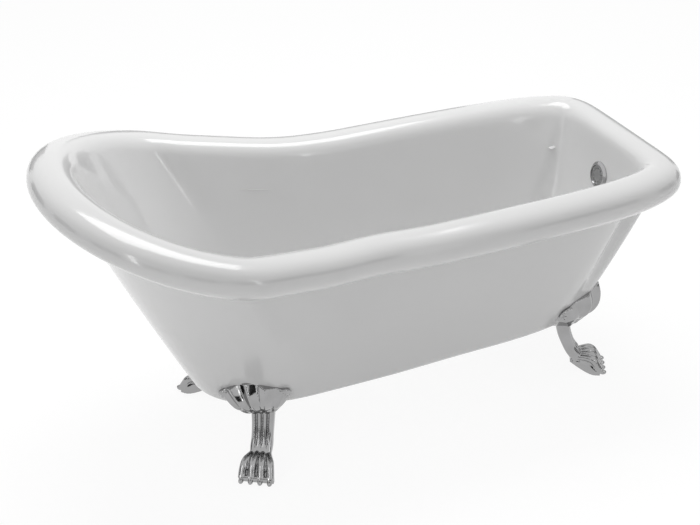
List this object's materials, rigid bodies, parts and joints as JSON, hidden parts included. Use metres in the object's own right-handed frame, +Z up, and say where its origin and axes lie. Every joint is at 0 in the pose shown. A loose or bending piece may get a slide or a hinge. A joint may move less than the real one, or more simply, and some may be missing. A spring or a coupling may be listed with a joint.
{
  "type": "freestanding bathtub",
  "caption": "Single-ended freestanding slipper bath with a rolled rim, leaf-topped claw feet, a click plug waste and a holed overflow.",
  "frame": {"origin": "on the floor, under the middle of the rim's length and width", "axes": "+X from the raised head end to the foot end with the waste and overflow, +Z up, +Y to the left seen from the head end"},
  "size_m": [1.55, 0.8107, 0.766],
  "materials": {
    "acrylic": "polished white acrylic sheet",
    "sealant": "smooth white sealant",
    "board": "bare chipboard",
    "chrome_casting": "polished chrome on a casting",
    "chrome_fittings": "polished chrome",
    "seal_rubber": "black moulded rubber",
    "waste_plastic": "white moulded plastic",
    "brass": "machined",
    "plated_steel": "zinc plated",
    "pad_plastic": "black moulded plastic"
  },
  "bodies": {
    "tub": {"base_board": "board", "board_insert_1": "brass", "board_insert_2": "brass", "board_insert_3": "brass", "board_insert_4": "brass", "board_insert_5": "brass", "board_insert_6": "brass", "board_insert_7": "brass", "board_insert_8": "brass", "claw_foot_end_left": "chrome_casting", "claw_foot_end_right": "chrome_casting", "claw_foot_head_left": "chrome_casting", "claw_foot_head_right": "chrome_casting", "click_cartridge": "brass", "drain_body": "waste_plastic", "drain_flange": "chrome_fittings", "drain_flange_seal": "seal_rubber", "drain_gasket": "seal_rubber", "elbow_pipe_nut": "waste_plastic", "foot_screw_1": "plated_steel", "foot_screw_2": "plated_steel", "foot_screw_3": "plated_steel", "foot_screw_4": "plated_steel", "foot_screw_5": "plated_steel", "foot_screw_6": "plated_steel", "foot_screw_7": "plated_steel", "foot_screw_8": "plated_steel", "foot_washer_1": "plated_steel", "foot_washer_2": "plated_steel", "foot_washer_3": "plated_steel", "foot_washer_4": "plated_steel", "foot_washer_5": "plated_steel", "foot_washer_6": "plated_steel", "foot_washer_7": "plated_steel", "foot_washer_8": "plated_steel", "inlet_pipe_nut": "waste_plastic", "inner_shell": "acrylic", "outer_skirt": "acrylic", "outlet_seal": "seal_rubber", "overflow_cover": "chrome_fittings", "overflow_elbow": "waste_plastic", "overflow_gasket": "seal_rubber", "overflow_grille": "chrome_fittings", "overflow_nut": "brass", "overflow_pipe": "waste_plastic", "seam_bead": "sealant", "slip_nut": "waste_plastic", "tailpiece": "chrome_fittings"},
    "plug": {"plug_cap": "chrome_fittings", "plug_seal": "seal_rubber", "plug_stem": "plated_steel"},
    "leveller_head_left": {"leveller_pin_head_left": "plated_steel", "leveller_pad_head_left": "pad_plastic"},
    "leveller_head_right": {"leveller_pin_head_right": "plated_steel", "leveller_pad_head_right": "pad_plastic"},
    "leveller_end_left": {"leveller_pin_end_left": "plated_steel", "leveller_pad_end_left": "pad_plastic"},
    "leveller_end_right": {"leveller_pin_end_right": "plated_steel", "leveller_pad_end_right": "pad_plastic"}
  },
  "joints": [
    {"name": "plug_lift", "type": "slide", "parent": "tub", "child": "plug", "axis": [0, 0, 1], "range_m": [0, 0.009]},
    {"name": "leveller_turn_head_left", "type": "slide", "parent": "tub", "child": "leveller_head_left", "axis": [0, 0, -1], "range_m": [0, 0.015]},
    {"name": "leveller_turn_head_right", "type": "slide", "parent": "tub", "child": "leveller_head_right", "axis": [0, 0, -1], "range_m": [0, 0.015]},
    {"name": "leveller_turn_end_left", "type": "slide", "parent": "tub", "child": "leveller_end_left", "axis": [0, 0, -1], "range_m": [0, 0.015]},
    {"name": "leveller_turn_end_right", "type": "slide", "parent": "tub", "child": "leveller_end_right", "axis": [0, 0, -1], "range_m": [0, 0.015]}
  ]
}
